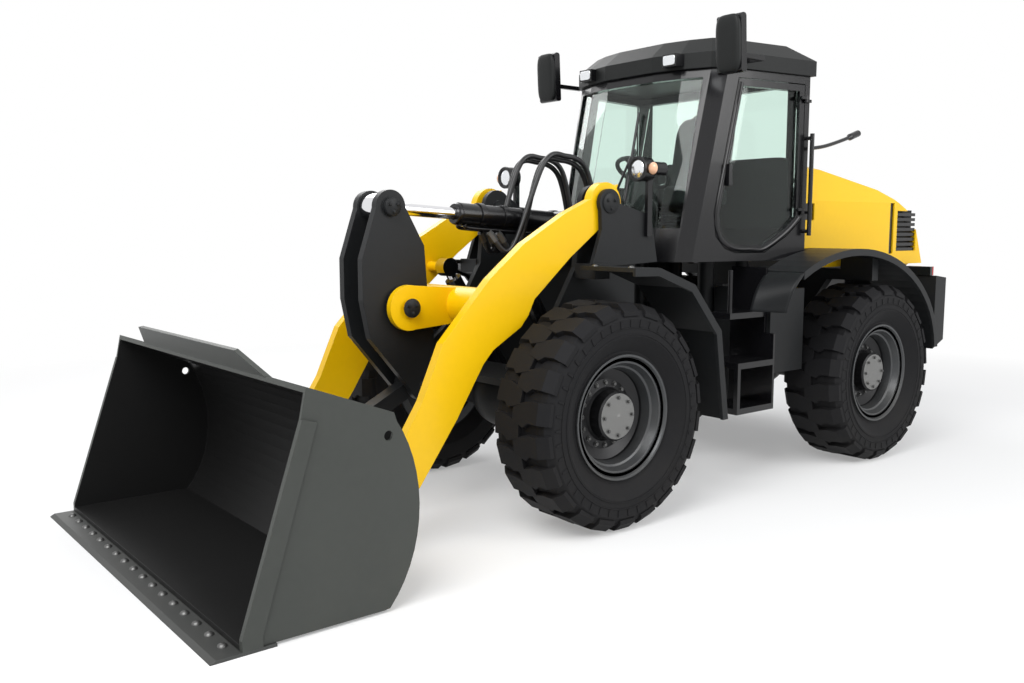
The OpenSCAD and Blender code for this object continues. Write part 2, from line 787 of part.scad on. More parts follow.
module boom() {
  color(yellow) place() difference() {
    union() {
      both() slab(arm_in, arm_out) union() {
        disc(boom_pin, 125);
        disc(bucket_pin, 95);
        polygon([
          [-400, 1965], [30, 1785], [340, 1613], [585, 1420], [900, 1087], [1035, 785], [1180, 560],
          [bucket_pin_x + 90, bucket_pin_z + 25], [bucket_pin_x, bucket_pin_z - 95], [1055, 330], [810, 668],
          [630, 953], [560, 1027], [360, 1144], [308, 1205], [262, 1296], [-10, 1527], [-300, 1735]
        ]);
      }
      bar(cross_at, cross_r, -arm_in - 1, arm_in + 1);
      both() slab(ear_in, ear_out) union() {
        disc(crank_pin, 130);
        polygon([[cross_at[0] - 20, cross_at[1] + 100], [crank_x - 40, crank_z + 125],
          [crank_x - 40, crank_z - 125], [cross_at[0] - 20, cross_at[1] - 100]]);
      }
      bar(crank_pin, pin_r, -ear_out - cap_t, ear_out + cap_t);
      both() bar(lift_top, small_pin_r, lift_y + 50 + side_gap, arm_in + 1);
    }
    both() bar(boom_pin, pin_r + run_gap, arm_in - 10, arm_out + 10);
    both() bar(bucket_pin, pin_r + run_gap, arm_in - 10, arm_out + 10);
  }
}

module bellcrank() color(dark_grey) place() {
  difference() {
    union() {
      both() slab(crank_in, crank_out) union() {
        disc(crank_top, 95);
        disc(crank_low, 85);
        polygon([
          [crank_top_x + 80, crank_top_z + 40], [1110, 1530], [1110, 1300], [1065, 1080],
          [crank_low_x + 80, crank_low_z - 20], [crank_low_x - 80, crank_low_z], [640, 1100], [680, 1330], [700, 1600],
          [crank_top_x - 95, crank_top_z]
        ]);
      }
      bar(crank_pin, 110, -ear_in + side_gap, ear_in - side_gap);
      bar(crank_low, small_pin_r, -crank_out - cap_t, crank_out + cap_t);
    }
    bar(crank_pin, pin_r + run_gap, -300, 300);
  }
  both() bar(crank_top, pin_r + 15, crank_out, crank_out + cap_t);
}

module tilt_link() {
  angle = atan2(bucket_top[1] - crank_low[1], bucket_top[0] - crank_low[0]);
  len = norm(bucket_top - crank_low);
  half = crank_in - side_gap;
  color(dark_grey) place() aim(crank_low, 0, angle) difference() {
    union() {
      bar([0, 0], 75, -half, half);
      bar([len, 0], 70, -half + 20, half - 20);
      box([0, -half + 25, -45], [len, half - 25, 45]);
    }
    bar([0, 0], small_pin_r + run_gap, -200, 200);
  }
}

bucket_c = [1945, 470];
bucket_ry = 600;
bucket_rx = 472;

// Outline of the bucket's sheet from the floor over the back to the upper lip, set in by the sheet's thickness.
function bucket_back(inset) = [for (t = [-49:7:46])
  bucket_c + [-(bucket_rx - inset) * cos(t), (bucket_ry - inset) * sin(t)]];

lip = [2017, 1056];

// Side view of the bucket's hollow.
module bucket_inside() polygon(concat(
  [[2600, 14 + sheet_t], [1720, 14 + sheet_t]], bucket_back(sheet_t), [lip + [0, -sheet_t], [2600, 1000]]
));

module bucket() {
  half = bucket_w / 2;
  back = bucket_back(0);
  color(dark_grey) place() difference() {
    union() {
      difference() {
        slab(-half + side_t, half - side_t) polygon(concat(
          [[2330, 60], [2330, 14], [1700, 14]], back, [lip, [2044, 923]]
        ));
        slab(-half, half) bucket_inside();
      }
      both() slab(half - side_t, half - 12) union() {
        polygon([
          [2330, 60], [2330, 14], [1655, 14], [1590, 90], [1473, 446], [1559, 774], [1600, 900], lip, [2044, 923]
        ]);
        polygon(concat([[1900, 14], [1700, 14]], back, [lip]));
      }
      both() slab(half - side_t, half) polygon([[2330, 14], [2330, 60], [2044, 923], [1975, 905], [2240, 60], [2240, 14]]);
      intersection() {
        slab(-half, half) polygon([lip + [-5, -20], lip + [70, 100], lip + [45, 105], lip + [-45, -35]]);
        wall(1500, 2500) polygon([[-800, lip[1] - 40], [-600, 1200], [600, 1200], [900, lip[1] - 40]]);
      }
      both() for (y = [arm_in - 40 - side_gap, arm_out + side_gap]) slab(y, y + 40) union() {
        disc(bucket_pin, 95);
        polygon([bucket_pin + [-20, 95], [1490, 640], [1560, 640], [1620, 60], [bucket_pin_x, bucket_pin_z - 95]]);
      }
      both() bar(bucket_pin, pin_r, arm_in - 40 - side_gap, arm_out + 40 + side_gap);
      both() slab(crank_in - 10, crank_in + 30) union() {
        disc(bucket_top, 75);
        polygon([bucket_top + [0, 75], [1560, 800], [1560, 300], bucket_top + [0, -75]]);
      }
    }
    slab(-half + side_t, half - side_t) bucket_inside();
    both() bar([1630, 800], tie_r, half - side_t - 1, half + 1);
  }
}

module cutting_edge() {
  half = bucket_w / 2;
  color(steel) place() {
    slab(-half, half) polygon([[2180, 0], [front_reach, 0], [front_reach - 25, 14], [2180, 14]]);
  }
}

module tilt_pin() color(steel) place() bar(tilt_base, pin_r, -110, 110);

// A barrel that lies along X from its base pin at the origin, with a true bore.
module barrel_shape(r, bore, rod, eye_r, eye_half, pin, start, end) difference() {
  union() {
    rotate([0, 90, 0]) translate([0, 0, start]) cylinder(r = r, h = end - start);
    rotate([90, 0, 0]) cylinder(r = eye_r, h = 2 * eye_half, center = true);
    box([0, -eye_half, -0.7 * eye_r], [start + 1, eye_half, 0.7 * eye_r]);
  }
  rotate([0, 90, 0]) translate([0, 0, start + 30]) cylinder(r = bore, h = end - start - 60);
  rotate([0, 90, 0]) translate([0, 0, start + 30]) cylinder(r = rod + run_gap, h = end);
  rotate([90, 0, 0]) cylinder(r = pin + run_gap, h = 4 * eye_half, center = true);
}

// A rod that lies along X, with its piston at one end and its eye at the other.
module rod_shape(bore, rod, eye_r, eye_half, tail, len) {
  rotate([0, 90, 0]) translate([0, 0, tail]) cylinder(r = bore - 0.3, h = 60);
  rotate([0, 90, 0]) translate([0, 0, tail]) cylinder(r = rod, h = len - tail - 0.5 * eye_r);
  translate([len, 0, 0]) rotate([90, 0, 0]) cylinder(r = eye_r, h = 2 * eye_half, center = true);
}

module tilt_barrel() color(black) place() aim(tilt_base, 0, tilt_angle)
  barrel_shape(tilt_r, 52, 36, 78, 50, pin_r, 95, 840);

module tilt_rod() color(steel) place() aim(tilt_base, 0, tilt_angle)
  rod_shape(52, 36, 80, eye_half, 480, tilt_len);

module lift_barrel(side) color(black) place() aim(lift_base, side * lift_y, lift_angle)
  barrel_shape(lift_r, 44, 32, 60, 45, small_pin_r, 75, lift_len - 90);

module lift_rod(side) color(steel) place() aim(lift_base, side * lift_y, lift_angle)
  rod_shape(44, 32, 60, 45, 120, lift_len);

module lift_barrel_left() lift_barrel(1);
module lift_barrel_right() lift_barrel(-1);
module lift_rod_left() lift_rod(1);
module lift_rod_right() lift_rod(-1);

// Steering cylinders lie flat, with upright pins.
module steer_place(side) mirror([0, side < 0 ? 1 : 0, 0]) translate([steer_rear[0], steer_rear[1], steer_z])
  rotate([0, 0, steer_angle]) rotate([90, 0, 0]) children();

module steer_barrel(side) color(black) place() steer_place(side)
  barrel_shape(steer_r, 30, 22, 45, steer_half, steer_pin_r, 55, 560);

module steer_rod(side) color(steel) place() steer_place(side)
  rod_shape(30, 22, 42, steer_half, 300, steer_len);

module steer_barrel_left() steer_barrel(1);
module steer_barrel_right() steer_barrel(-1);
module steer_rod_left() steer_rod(1);
module steer_rod_right() steer_rod(-1);

module tyre(x, side) color(black) place() wheel_at(x, side) tyre_shape();
module rim(x, side) color(steel) place() wheel_at(x, side) rim_shape();

module tyre_front_left() tyre(0, 1);
module tyre_front_right() tyre(0, -1);
module tyre_rear_left() tyre(rear_axle_x, 1);
module tyre_rear_right() tyre(rear_axle_x, -1);
module rim_front_left() rim(0, 1);
module rim_front_right() rim(0, -1);
module rim_rear_left() rim(rear_axle_x, 1);
module rim_rear_right() rim(rear_axle_x, -1);

rear_frame();
counterweight();
rear_axle();
engine();
radiator();
tanks();
steps();
rear_fenders();
cab_shell();
cab_roof();
cab_glass();
seat();
console();
handrails();
mirrors();
work_lamps();
tail_lamps();
front_frame();
front_axle();
front_fenders();
headlamps();
boom();
bellcrank();
tilt_link();
bucket();
cutting_edge();
tilt_pin();
tilt_barrel();
tilt_rod();
lift_barrel_left();
lift_barrel_right();
lift_rod_left();
lift_rod_right();
steer_barrel_left();
steer_barrel_right();
steer_rod_left();
steer_rod_right();
tyre_front_left();
tyre_front_right();
tyre_rear_left();
tyre_rear_right();
rim_front_left();
rim_front_right();
rim_rear_left();
rim_rear_right();
door_frame();
door_glass();
hood();
hood_grille();
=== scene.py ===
"""Looks of the wheel loader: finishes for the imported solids, the small fittings, hoses, light and camera."""
import json
import math

import bmesh
import bpy
import numpy as np
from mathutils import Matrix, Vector


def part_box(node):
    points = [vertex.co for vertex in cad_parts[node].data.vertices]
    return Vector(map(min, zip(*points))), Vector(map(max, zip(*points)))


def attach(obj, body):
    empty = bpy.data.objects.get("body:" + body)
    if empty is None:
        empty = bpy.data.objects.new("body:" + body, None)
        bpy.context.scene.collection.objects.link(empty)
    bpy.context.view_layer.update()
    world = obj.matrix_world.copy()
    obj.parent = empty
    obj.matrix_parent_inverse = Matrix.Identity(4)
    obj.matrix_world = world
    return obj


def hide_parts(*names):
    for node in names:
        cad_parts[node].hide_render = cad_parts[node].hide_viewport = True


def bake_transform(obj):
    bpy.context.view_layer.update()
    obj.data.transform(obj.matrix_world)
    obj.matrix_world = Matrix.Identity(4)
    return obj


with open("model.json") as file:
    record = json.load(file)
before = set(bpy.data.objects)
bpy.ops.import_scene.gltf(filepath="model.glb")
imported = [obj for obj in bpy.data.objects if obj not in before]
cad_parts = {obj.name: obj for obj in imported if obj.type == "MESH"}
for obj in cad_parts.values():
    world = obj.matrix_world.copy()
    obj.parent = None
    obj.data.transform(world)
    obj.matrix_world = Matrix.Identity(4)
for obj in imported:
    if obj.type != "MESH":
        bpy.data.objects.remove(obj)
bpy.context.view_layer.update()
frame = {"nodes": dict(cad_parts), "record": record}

# Driving places, read from the frame. Millimetres count forward from the front axle, as in the part's source.
MM = 1000
ORIGIN = np.zeros(3)
FORWARD, ACROSS, UP = np.eye(3)


def box_of(node):
    """A node's lowest and highest corners, a row each."""
    return np.array([list(corner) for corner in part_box(node)])


FRONT_AXLE = box_of("tyre_front_left").mean(0)
REAR_AXLE = box_of("tyre_rear_left").mean(0)
AXLE_Z = FRONT_AXLE[2]


def spots(points):
    """Points in millimetres from the front axle on the ground, as metres in the frame."""
    return np.array(points, float) / MM + FRONT_AXLE[0] * FORWARD


def at(*point):
    """One such point."""
    return spots(point)


# Surfaces: each is an array of points and an array of quads.
OFF_AXIS = np.array([0.3, 0.5, 0.8])  # a direction along no axis, which gives a turned profile its first spoke


def unit(vectors):
    """Vectors divided by their own lengths."""
    return vectors / np.linalg.norm(vectors, axis=-1, keepdims=True)


def full_turn(count):
    """Equal steps once round a circle, in radians, without the last."""
    return np.linspace(0, 2 * np.pi, count, endpoint=False)


def grid_quads(rows, cols, ring=True):
    """Quads of a grid of points kept row by row: point (i, j) joins (i, j+1), (i+1, j+1) and (i+1, j)."""
    i, j = np.meshgrid(np.arange(rows - 1), np.arange(cols if ring else cols - 1), indexing="ij")
    k = (j + 1) % cols
    return np.stack([i * cols + j, i * cols + k, (i + 1) * cols + k, (i + 1) * cols + j], -1).reshape(-1, 4)


def smooth_path(points, count):
    """A Catmull-Rom curve: on each span, half of (2b + (c-a)t + (2a-5b+4c-d)tt + (3b-a-3c+d)ttt)."""
    points = np.asarray(points)
    p = np.vstack([2 * points[0] - points[1], points, 2 * points[-1] - points[-2]])
    s = np.linspace(0, len(points) - 1, count)
    i = np.minimum(s.astype(int), len(points) - 2)
    t = (s - i)[:, None]
    a, b, c, d = p[i], p[i + 1], p[i + 2], p[i + 3]
    return 0.5 * (2 * b + (c - a) * t + (2 * a - 5 * b + 4 * c - d) * t**2 + (3 * b - a - 3 * c + d) * t**3)


def between(first, second, share):
    """Points between two places, at each share of the way: (1 - s) first + s second."""
    return (1 - share)[..., None] * at(*first) + share[..., None] * at(*second)


def tube_surface(path, radius, side, around=14):
    """A circle carried along a path: point = path + r (n cos u + b sin u), n being the side direction made
    square to the path and b the third direction; a ring of radius 0 closes each end."""
    along = unit(np.gradient(path, axis=0))
    n = unit(side - (along @ side)[:, None] * along)
    b = np.cross(along, n)
    path, n, b = (np.vstack([v[:1], v, v[-1:]]) for v in (path, n, b))
    r = np.broadcast_to(radius, len(path) - 2)
    r = np.concatenate([[0], r, [0]])[:, None, None]
    u = full_turn(around)[None, :, None]
    points = path[:, None] + r * (n[:, None] * np.cos(u) + b[:, None] * np.sin(u))
    return points.reshape(-1, 3), grid_quads(len(path), around)


def turned_surface(profile, centre, axis, around=40):
    """A profile of (radius, height) turned round an axis: point = centre + h axis + r (n cos u + b sin u).
    Its faces look outwards where the profile climbs on the outside."""
    axis = unit(np.array(axis, float))
    n = unit(np.cross(axis, OFF_AXIS))
    b = np.cross(axis, n)
    r, h = np.array(profile, float).T[:, :, None, None]
    u = full_turn(around)[None, :, None]
    points = np.asarray(centre) + h * axis + r * (n * np.cos(u) + b * np.sin(u))
    return points.reshape(-1, 3), grid_quads(len(profile), around)


def pillow_surface(centre, half, edge, rows=25, cols=48):
    """A rounded block: x = a C(u) C(v), y = b C(u) S(v), z = c S(u), where C and S are the cosine and sine
    raised to a small power with their signs kept, so that small powers give flat faces and tight corners."""
    u = np.linspace(-np.pi / 2, np.pi / 2, rows)[:, None]
    v = np.linspace(-np.pi, np.pi, cols, endpoint=False)[None, :]

    def power(w):
        return np.sign(w) * np.abs(w) ** edge

    points = np.stack([power(np.cos(u)) * power(np.cos(v)), power(np.cos(u)) * power(np.sin(v)),
                       power(np.sin(u)) * np.ones_like(v)], -1) * np.asarray(half) + np.asarray(centre)
    return points.reshape(-1, 3), grid_quads(rows, cols)


def plate_surface(corners, depth):
    """A flat plate: four corners, and the same four moved by a depth vector, joined by six quads."""
    front = np.array(corners, float)
    points = np.vstack([front, front + np.asarray(depth, float)])
    quads = np.array([[0, 1, 2, 3], [7, 6, 5, 4], [0, 4, 5, 1], [1, 5, 6, 2], [2, 6, 7, 3], [3, 7, 4, 0]])
    if np.dot(np.cross(front[1] - front[0], front[2] - front[1]), depth) > 0:
        quads = quads[:, ::-1]
    return points, quads


def upright(y, rear, front, low, top):
    """Corners of an upright rectangle that runs along the machine."""
    return spots([[rear, y, low], [front, y, low], [front, y, top], [rear, y, top]])


def bolt_surface(axis, r):
    """A hexagon head on a washer: a stepped profile turned round the axis in six steps."""
    washer = [(0, 0), (1.45 * r, 0), (1.45 * r, 0.25 * r)]
    head = [(r, 0.25 * r), (r, 0.9 * r), (0.8 * r, 1.05 * r), (0, 1.05 * r)]
    return turned_surface(washer + head, ORIGIN, axis, 6)


def ring_points(centre, radius, count, turn=0.0):
    """Points on a circle in the XZ plane: centre + r (cos a, 0, sin a)."""
    a = full_turn(count) + turn
    return np.asarray(centre) + radius * np.stack([np.cos(a), 0 * a, np.sin(a)], -1)


def repeated(surface, centres):
    """One surface set down at each of several centres: every point plus every centre."""
    points, quads = surface
    moved = np.asarray(centres)[:, None] + points[None]
    steps = (np.arange(len(centres)) * len(points))[:, None, None]
    return moved.reshape(-1, 3), (quads + steps).reshape(-1, 4)


def spoked(surface, centre, count):
    """Copies turned round an axis along Y: x cos a + z sin a, and z cos a - x sin a, for each angle a."""
    points, quads = surface
    a = full_turn(count)[:, None]
    x, y, z = points.T
    turned = np.stack([x * np.cos(a) + z * np.sin(a), y + 0 * a, z * np.cos(a) - x * np.sin(a)], -1)
    steps = (np.arange(count) * len(points))[:, None, None]
    return (turned + centre).reshape(-1, 3), (quads + steps).reshape(-1, 4)


def together(*surfaces):
    """Several surfaces as one mesh: points are stacked and each surface's quads count on from the last."""
    starts = np.cumsum([0] + [len(points) for points, _ in surfaces[:-1]])
    quads = np.vstack([quads + start for (_, quads), start in zip(surfaces, starts)])
    return np.vstack([points for points, _ in surfaces]), quads


def flipped(surface):
    """The same surface with its quads turned round, for a profile that comes down on the outside."""
    points, quads = surface
    return points, quads[:, ::-1]


def both_sides(surface):
    """A surface and its mirror image as one mesh: Y changes sign and the quads turn round."""
    points, quads = flipped(surface)
    return together(surface, (points * [1, -1, 1], quads))


def leaned(surface, foot, share):
    """A surface sheared backwards: X falls by a share of the height above the foot."""
    points, quads = surface
    return points - np.outer((points[:, 2] - foot) * share, FORWARD), quads


def stitched(surface, lines, depth, width=0.012):
    """A pad with sewn channels: each point sinks towards the middle by depth times exp(-(d / width)^2), d being
    its distance across Y from a line."""
    points, quads = surface
    sink = sum(np.exp(-(((points[:, 1] - y) / width) ** 2)) for y in lines)
    middle = points.mean(0)
    return points + unit(middle - points + 1e-9) * (depth * sink)[:, None], quads


# Pieces: how far apart points are still one point, and the angles in degrees over which an edge stays sharp.
MERGE, SLIVER = 1e-5, 1e-6
CRISP, PLAIN, ROUND = 30, 40, 60


def piece(name, surface, body, material, sharp=PLAIN):
    """A mesh of a surface, with its doubles merged, that rides on a body."""
    points, quads = surface
    mesh = bpy.data.meshes.new(name)
    mesh.from_pydata(points.tolist(), [], quads.tolist())
    work = bmesh.new()
    work.from_mesh(mesh)
    bmesh.ops.remove_doubles(work, verts=work.verts, dist=MERGE)
    bmesh.ops.dissolve_degenerate(work, dist=SLIVER, edges=work.edges)
    work.to_mesh(mesh)
    work.free()
    mesh.polygons.foreach_set("use_smooth", np.ones(len(mesh.polygons), bool))
    mesh.set_sharp_from_angle(angle=math.radians(sharp))
    mesh.materials.append(material)
    made = bpy.data.objects.new(name, mesh)
    bpy.context.collection.objects.link(made)
    if body:
        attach(made, body)
    return made


# Shader nodes, and the groups that several finishes share.
COLOUR, VALUE, VECTOR = "NodeSocketColor", "NodeSocketFloat", "NodeSocketVector"


def new_group(name, inputs, outputs):
    """An empty shader group with named sockets, and its input and output nodes."""
    group = bpy.data.node_groups.new(name, "ShaderNodeTree")
    for label, kind, value in inputs:
        socket = group.interface.new_socket(label, in_out="INPUT", socket_type=kind)
        socket.default_value = value
    for label, kind in outputs:
        group.interface.new_socket(label, in_out="OUTPUT", socket_type=kind)
    return group, group.nodes.new("NodeGroupInput"), group.nodes.new("NodeGroupOutput")


def group_node(tree, group, **values):
    """A placed group with its own input values."""
    node = tree.nodes.new("ShaderNodeGroup")
    node.node_tree = group
    for label, value in values.items():
        node.inputs[label].default_value = value
    return node


def object_place(tree):
    """The Object coordinates."""
    return tree.nodes.new("ShaderNodeTexCoord").outputs["Object"]


def object_axes(tree):
    """X, Y and Z of the Object coordinates."""
    split = tree.nodes.new("ShaderNodeSeparateXYZ")
    tree.links.new(object_place(tree), split.inputs["Vector"])
    return tuple(split.outputs)


def noise_node(tree, scale, detail, roughness=0.55):
    """A noise texture on Object coordinates."""
    noise = tree.nodes.new("ShaderNodeTexNoise")
    noise.inputs["Scale"].default_value = scale
    noise.inputs["Detail"].default_value = detail
    noise.inputs["Roughness"].default_value = roughness
    tree.links.new(object_place(tree), noise.inputs["Vector"])
    return noise


def ramp_node(tree, source, low, high):
    """A value stretched so that low becomes 0 and high becomes 1."""
    ramp = tree.nodes.new("ShaderNodeMapRange")
    ramp.inputs["From Min"].default_value = low
    ramp.inputs["From Max"].default_value = high
    tree.links.new(source, ramp.inputs["Value"])
    return ramp.outputs["Result"]


def math_node(tree, operation, first, second):
    """A Math node; an input is a socket or a number."""
    node = tree.nodes.new("ShaderNodeMath")
    node.operation = operation
    for socket, value in zip(node.inputs, (first, second)):
        if isinstance(value, (int, float)):
            socket.default_value = value
        else:
            tree.links.new(value, socket)
    return node.outputs[0]


def vector_node(tree, operation, first, second=None):
    """A Vector Math node on a socket, with a fixed second vector where one is given."""
    node = tree.nodes.new("ShaderNodeVectorMath")
    node.operation = operation
    tree.links.new(first, node.inputs[0])
    if second is not None:
        node.inputs[1].default_value = second
    return node


def mix_node(tree, amount, first, second):
    """A colour mix; an input is a socket or a colour."""
    node = tree.nodes.new("ShaderNodeMix")
    node.data_type = "RGBA"
    tree.links.new(amount, node.inputs["Factor"])
    for socket, value in ((node.inputs["A"], first), (node.inputs["B"], second)):
        if isinstance(value, tuple):
            socket.default_value = (*value, 1)
        else:
            tree.links.new(value, socket)
    return node.outputs["Result"]


def shade_group():
    """Paint shade: broad and fine noise darken the paint's colour by a share."""
    inputs = [("Colour", COLOUR, (0.5, 0.5, 0.5, 1)), ("Share", VALUE, 0.2)]
    tree, inp, out = new_group("paint_shade", inputs, [("Colour", COLOUR)])
    broad = noise_node(tree, scale=1.3, detail=3)
    fine = noise_node(tree, scale=22, detail=4)
    both = math_node(tree, "MULTIPLY", broad.outputs["Fac"], fine.outputs["Fac"])
    spread = ramp_node(tree, both, 0.12, 0.42)
    amount = math_node(tree, "MULTIPLY", spread, inp.outputs["Share"])
    darker = tree.nodes.new("ShaderNodeHueSaturation")
    darker.inputs["Value"].default_value = 0.55
    tree.links.new(inp.outputs["Colour"], darker.inputs["Color"])
    mixed = mix_node(tree, amount, inp.outputs["Colour"], darker.outputs["Color"])
    tree.links.new(mixed, out.inputs["Colour"])
    return tree


def dust_group():
    """Site dust: a mask that is thick near the ground, fades with height and is broken up by noise."""
    inputs = [("Amount", VALUE, 0.2), ("Height", VALUE, 1.2)]
    tree, inp, out = new_group("site_dust", inputs, [("Mask", VALUE)])
    z = object_axes(tree)[2]
    near = ramp_node(tree, math_node(tree, "DIVIDE", z, inp.outputs["Height"]), 1.0, 0.0)
    cloud = noise_node(tree, scale=3.5, detail=6, roughness=0.65)
    patches = ramp_node(tree, cloud.outputs["Fac"], 0.38, 0.68)
    mask = math_node(tree, "MULTIPLY", math_node(tree, "MULTIPLY", near, patches), inp.outputs["Amount"])
    tree.links.new(mask, out.inputs["Mask"])
    return tree


def grain_group():
    """Fine grain: a height from fine noise, for orange peel, castings and rubber."""
    tree, inp, out = new_group("fine_grain", [("Scale", VALUE, 200.0)], [("Height", VALUE)])
    noise = noise_node(tree, scale=200, detail=3)
    tree.links.new(inp.outputs["Scale"], noise.inputs["Scale"])
    tree.links.new(noise.outputs["Fac"], out.inputs["Height"])
    return tree


def soft_edge_group():
    """Soft edge: the normal of the surface with its sharp edges rounded by a small radius."""
    tree, inp, out = new_group("soft_edge", [("Radius", VALUE, 0.004)], [("Normal", VECTOR)])
    bevel = tree.nodes.new("ShaderNodeBevel")
    bevel.samples = 4
    tree.links.new(inp.outputs["Radius"], bevel.inputs["Radius"])
    tree.links.new(bevel.outputs["Normal"], out.inputs["Normal"])
    return tree


SHADE, DUST, GRAIN, EDGE = shade_group(), dust_group(), grain_group(), soft_edge_group()
DUST_COLOUR, DUST_DULLS = (0.30, 0.26, 0.20), 0.5
GRAIN_DEPTH = 0.002


def new_material(name):
    """An empty material, its node tree and its shader."""
    material = bpy.data.materials.new(name)
    material.use_nodes = True
    return material, material.node_tree, material.node_tree.nodes["Principled BSDF"]


def finish(name, colour, rough, metal=0.0, share=0.25, dust=0.0, height=1.2, grain=(0, 0.0), edge=0.004,
           **shader):
    """A finish: shaded paint under dust, with grain (its scale and strength) and softened edges; other values
    go straight to the shader's own sockets."""
    material, tree, surface = new_material(name)
    surface.inputs["Metallic"].default_value = metal
    surface.inputs["Roughness"].default_value = rough
    for label, value in shader.items():
        surface.inputs[label.replace("_", " ").title().replace("Ior", "IOR")].default_value = value
    tone = group_node(tree, SHADE, Colour=(*colour, 1), Share=share).outputs["Colour"]
    if dust:
        film = group_node(tree, DUST, Amount=dust, Height=height).outputs["Mask"]
        tone = mix_node(tree, film, tone, DUST_COLOUR)
        dull = math_node(tree, "ADD", math_node(tree, "MULTIPLY", film, DUST_DULLS), rough)
        tree.links.new(dull, surface.inputs["Roughness"])
    tree.links.new(tone, surface.inputs["Base Color"])
    normal = None
    if edge:
        normal = group_node(tree, EDGE, Radius=edge).outputs["Normal"]
    scale, strength = grain
    if strength:
        bump = tree.nodes.new("ShaderNodeBump")
        bump.inputs["Strength"].default_value = strength
        bump.inputs["Distance"].default_value = GRAIN_DEPTH
        tree.links.new(group_node(tree, GRAIN, Scale=scale).outputs["Height"], bump.inputs["Height"])
        if normal:
            tree.links.new(normal, bump.inputs["Normal"])
        normal = bump.outputs["Normal"]
    if normal:
        tree.links.new(normal, surface.inputs["Normal"])
    return material


def clear_finish(name, colour, rough=0.02, bend=1.3):
    """Clear glass: a plain transmitting shader."""
    material, _, surface = new_material(name)
    surface.inputs["Base Color"].default_value = (*colour, 1)
    surface.inputs["Roughness"].default_value = rough
    surface.inputs["IOR"].default_value = bend
    surface.inputs["Transmission Weight"].default_value = 1
    return material


# Second tones, and painted shade in the bucket: a finish that changes its colour at a line on the piece, within
# a narrow blur.
LINE_BLUR, SHADE_LIP_BLUR, DISC_BLUR = 0.001, 0.010, 0.002


def base_colour(material):
    """A finish's node tree, its shader's Base Color socket and the socket that feeds it."""
    paint = material.node_tree.nodes["Principled BSDF"].inputs["Base Color"]
    return material.node_tree, paint, paint.links[0].from_socket


def paint_inside_shade(material, colour, half, top):
    """Painted shade: everything between the bucket's side plates and under its lip gets a darker colour."""
    tree, paint, tone = base_colour(material)
    _, y, z = object_axes(tree)
    across = ramp_node(tree, math_node(tree, "ABSOLUTE", y, 0.0), half, half + LINE_BLUR)
    above = ramp_node(tree, z, top, top + SHADE_LIP_BLUR)
    tree.links.new(mix_node(tree, math_node(tree, "MAXIMUM", across, above), colour, tone), paint)


def dark_housing(material, colour, lens_end):
    """Gives a lamp a dark housing: its own colour stays only behind the end of its lens."""
    tree, paint, tone = base_colour(material)
    housing = ramp_node(tree, object_axes(tree)[0], lens_end, lens_end + LINE_BLUR)
    tree.links.new(mix_node(tree, housing, tone, colour), paint)


def wheel_tones(material, disc_colour, disc_edge, cover_colour, cover_edge):
    """Gives the wheels a black disc and a paler hub cover, by the distance to the nearer of the two axles."""
    tree, paint, tone = base_colour(material)
    flat = vector_node(tree, "MULTIPLY", object_place(tree), (1, 0, 1)).outputs["Vector"]
    away = [vector_node(tree, "DISTANCE", flat, (x, 0, AXLE_Z)).outputs["Value"]
            for x in (FRONT_AXLE[0], REAR_AXLE[0])]
    near = math_node(tree, "MINIMUM", *away)
    disc = ramp_node(tree, near, disc_edge + DISC_BLUR, disc_edge)
    cover = ramp_node(tree, near, cover_edge + LINE_BLUR, cover_edge)
    tree.links.new(mix_node(tree, cover, mix_node(tree, disc, tone, disc_colour), cover_colour), paint)


# Finishes: name, colour, roughness.
YELLOW = finish("yellow_paint", (0.90, 0.54, 0.001), 0.34, share=0.08, dust=0.03, coat_weight=0.12,
                coat_roughness=0.12, specular_ior_level=0.3)
GREY = finish("grey_paint", (0.013, 0.014, 0.015), 0.44, share=0.3, dust=0.03, grain=(320, 0.06),
              specular_ior_level=0.2)
BUCKET_PAINT_AND_SHADE = finish("bucket_paint_and_painted_shade", (0.050, 0.054, 0.049), 0.45, share=0.2, dust=0.02, height=0.8, grain=(260, 0.06),
                specular_ior_level=0.25)
ROOF = finish("roof_paint", (0.010, 0.011, 0.011), 0.5, share=0.3, dust=0.02, grain=(320, 0.08),
              specular_ior_level=0.2)
BLACK = finish("black_paint", (0.005, 0.005, 0.006), 0.24, share=0.3, dust=0.02, coat_weight=0.1,
               specular_ior_level=0.35)
ENGINE = finish("engine_casting", (0.16, 0.16, 0.16), 0.6, metal=0.3, share=0.5, grain=(300, 0.25))
EDGE_STEEL = finish("edge_steel", (0.045, 0.047, 0.045), 0.48, metal=0.2, share=0.3, dust=0.02, height=0.4)
CHROME = finish("rod_chrome", (0.78, 0.78, 0.80), 0.08, metal=1.0, share=0.05, edge=0)
GLASS = clear_finish("green_glass", (0.80, 0.91, 0.86))
FABRIC = finish("seat_fabric", (0.022, 0.023, 0.025), 0.9, share=0.4, grain=(900, 0.6), edge=0)
RED = finish("red_lens", (0.45, 0.012, 0.010), 0.12, share=0.1, edge=0)
AMBER = finish("amber_lens", (0.80, 0.47, 0.30), 0.12, share=0.1, edge=0)
RIM = finish("rim_grey", (0.058, 0.061, 0.064), 0.36, metal=0.4, share=0.3, dust=0.08, height=1.3)
RUBBER = finish("tyre_rubber", (0.006, 0.006, 0.007), 0.7, share=0.35, dust=0.02, height=0.9, grain=(420, 0.2),
                specular_ior_level=0.2)
HOSE = finish("hose_rubber", (0.008, 0.008, 0.009), 0.42, share=0.3, edge=0)
ZINC = finish("bolt_zinc", (0.13, 0.13, 0.128), 0.42, metal=0.8, share=0.3, edge=0)
MIRROR = finish("mirror_face", (0.85, 0.87, 0.88), 0.03, metal=1.0, share=0.02, edge=0)
LENS = finish("lamp_lens", (0.80, 0.82, 0.84), 0.16, metal=0.85, share=0.05, edge=0, coat_weight=1.0)

